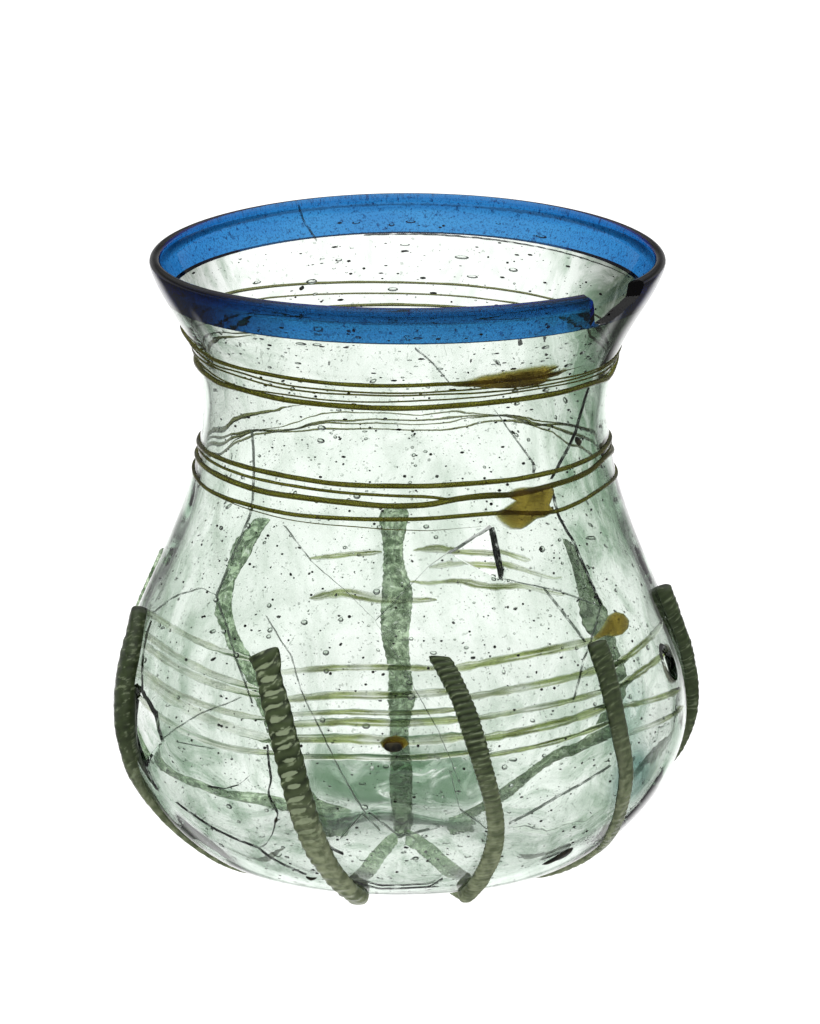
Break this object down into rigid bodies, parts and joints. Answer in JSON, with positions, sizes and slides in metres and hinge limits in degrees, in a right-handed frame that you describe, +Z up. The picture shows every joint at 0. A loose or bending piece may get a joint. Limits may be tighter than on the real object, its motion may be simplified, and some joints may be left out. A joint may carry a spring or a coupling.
{
  "type": "reticella glass beaker",
  "caption": "Blown glass beaker with a flaring coloured rim, threads wound round its neck and twisted canes that run down the belly as feet.",
  "frame": {"origin": "middle of the footprint of the whole vessel, on the plane it stands on", "axes": "+Z up through the mouth, -Y towards the side shown in the picture, +X to its right"},
  "size_m": [0.0864, 0.087, 0.0908],
  "materials": {
    "pale_green_glass": "clear pale green with fine bubbles, glossy",
    "cobalt_blue_glass": "clear deep blue, glossy",
    "yellow_thread_glass": "opaque yellow to olive, glossy",
    "twisted_cane_glass": "dark green cane with pale spiral threads, satin"
  },
  "bodies": {
    "root": {"bowl": "pale_green_glass", "rim": "cobalt_blue_glass", "neck_thread_upper": "yellow_thread_glass", "neck_thread_lower": "yellow_thread_glass", "cane_far_left": "twisted_cane_glass", "cane_left": "twisted_cane_glass", "cane_front_left": "twisted_cane_glass", "cane_front_right": "twisted_cane_glass", "cane_right": "twisted_cane_glass", "cane_far_right": "twisted_cane_glass", "cane_back_right": "twisted_cane_glass", "cane_back": "twisted_cane_glass", "cane_back_left": "twisted_cane_glass"}
  },
  "joints": []
}
